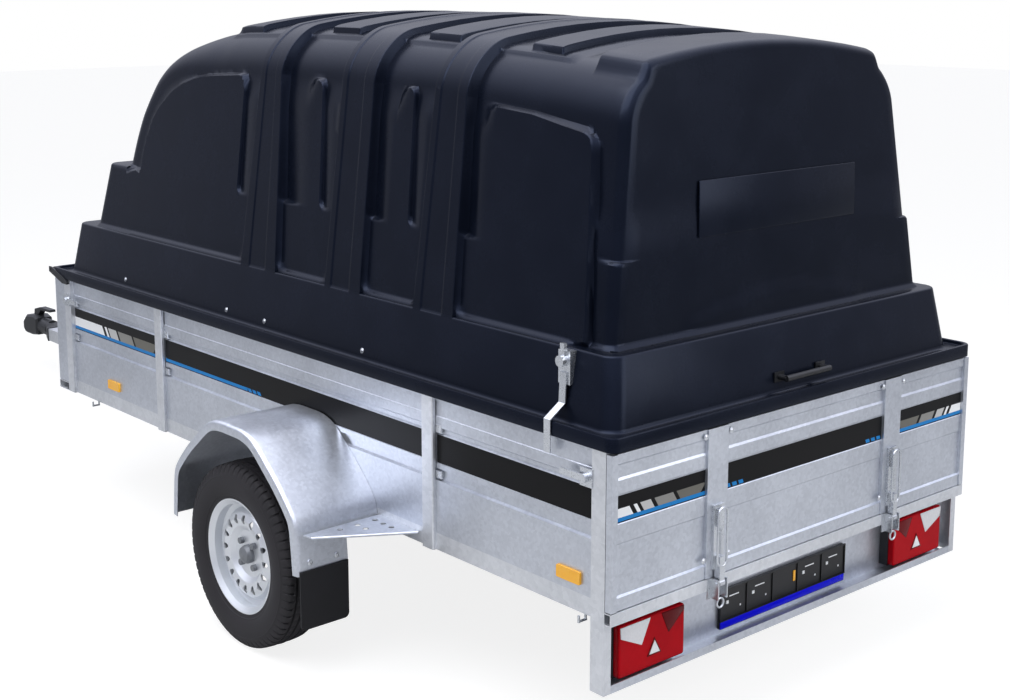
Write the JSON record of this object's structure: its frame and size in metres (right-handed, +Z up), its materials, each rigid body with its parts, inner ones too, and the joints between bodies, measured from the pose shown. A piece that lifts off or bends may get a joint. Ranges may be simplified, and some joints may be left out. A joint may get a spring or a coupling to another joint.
{
  "type": "covered utility trailer",
  "caption": "Single-axle galvanised box trailer with a tall ribbed moulded cover hinged at the front, drop gates, mudguards, V drawbar with ball coupling and jockey wheel.",
  "frame": {"origin": "on the ground under the middle of the whole outline", "axes": "+X forwards to the coupling, +Y to the trailer's left, +Z up"},
  "size_m": [5.169, 2.12, 1.9261],
  "materials": {
    "galvanised": "hot-dip galvanised sheet, soft satin with faint spangle",
    "zinc": "bright zinc-plated fittings",
    "cover_black": "moulded black plastic, fine grain, satin",
    "plywood": "brown film-faced plywood",
    "wheel_silver": "silver wheel paint",
    "tyre_rubber": "black tyre rubber",
    "black_rubber": "black rubber sheet",
    "black_iron": "black painted cast iron",
    "hub_grey": "machined grey iron",
    "lamp_red": "red moulded lamp lens with clear corner",
    "reflector_amber": "amber reflector",
    "plate_black": "black plate carrier, blank, blue foot strip",
    "black_plastic": "black moulded plastic"
  },
  "bodies": {
    "chassis": {"side_rails": "galvanised", "crossmembers": "galvanised", "rear_crossbeam": "galvanised", "front_crossbeam": "galvanised", "axle_bearers": "galvanised", "floor_board": "plywood", "axle_beam": "galvanised", "swing_arms": "galvanised", "drawbar_arms": "galvanised", "coupling_mount": "black_iron", "coupling_head": "black_iron", "coupling_lever": "black_iron", "jockey_clamp": "zinc", "jockey_outer_tube": "zinc", "jockey_crank": "zinc", "side_wall_left": "galvanised", "side_wall_right": "galvanised", "corner_posts": "galvanised", "side_posts": "galvanised", "corner_latches": "zinc", "tailgate_brackets": "zinc", "front_gate_brackets": "zinc", "light_panel": "galvanised", "lamp_left": "lamp_red", "lamp_right": "lamp_red", "plate_holder": "plate_black", "side_reflectors": "reflector_amber", "rope_hooks": "zinc", "mudguard_left": "galvanised", "mudguard_right": "galvanised", "step_plates": "galvanised", "mud_flaps": "black_rubber", "cover_hinge_brackets": "black_iron"},
    "tailgate_body": {"tailgate": "galvanised", "tailgate_straps": "zinc"},
    "front_gate_body": {"front_gate": "galvanised", "front_gate_straps": "zinc"},
    "cover_body": {"cover_shell": "cover_black", "cover_handle": "black_plastic", "cover_latches": "zinc", "cover_hinge_leaves": "black_iron"},
    "wheel_left": {"tyre_left": "tyre_rubber", "rim_left": "wheel_silver", "hub_left": "hub_grey"},
    "wheel_right": {"tyre_right": "tyre_rubber", "rim_right": "wheel_silver", "hub_right": "hub_grey"},
    "jockey_leg": {"jockey_inner_tube": "zinc"},
    "jockey_castor": {"jockey_fork": "zinc"},
    "jockey_roller": {"jockey_tyre": "black_rubber", "jockey_hub": "wheel_silver"}
  },
  "joints": [
    {"name": "tailgate_hinge", "type": "hinge", "parent": "chassis", "child": "tailgate_body", "pos_m": [-2.5735, 0, 0.453], "axis": [0, -1, 0], "range_deg": [0, 150]},
    {"name": "front_gate_hinge", "type": "hinge", "parent": "chassis", "child": "front_gate_body", "pos_m": [0.5605, 0, 0.457], "axis": [0, 1, 0], "range_deg": [0, 90]},
    {"name": "cover_hinge", "type": "hinge", "parent": "chassis", "child": "cover_body", "pos_m": [0.5665, 0, 0.9085], "axis": [0, 1, 0], "range_deg": [0, 55]},
    {"name": "wheel_left_spin", "type": "hinge", "parent": "chassis", "child": "wheel_left", "pos_m": [-1.2005, 0.966, 0.289], "axis": [0, 1, 0], "continuous": true},
    {"name": "wheel_right_spin", "type": "hinge", "parent": "chassis", "child": "wheel_right", "pos_m": [-1.2005, -0.966, 0.289], "axis": [0, 1, 0], "continuous": true},
    {"name": "jockey_height", "type": "slide", "parent": "chassis", "child": "jockey_leg", "axis": [0, 0, 1], "range_m": [-0.15, 0.04]},
    {"name": "jockey_swivel", "type": "hinge", "parent": "jockey_leg", "child": "jockey_castor", "pos_m": [1.6645, -0.21191, 0.2], "axis": [0, 0, 1], "continuous": true},
    {"name": "jockey_roll", "type": "hinge", "parent": "jockey_castor", "child": "jockey_roller", "pos_m": [1.6225, -0.21191, 0.1], "axis": [0, 1, 0], "continuous": true}
  ]
}
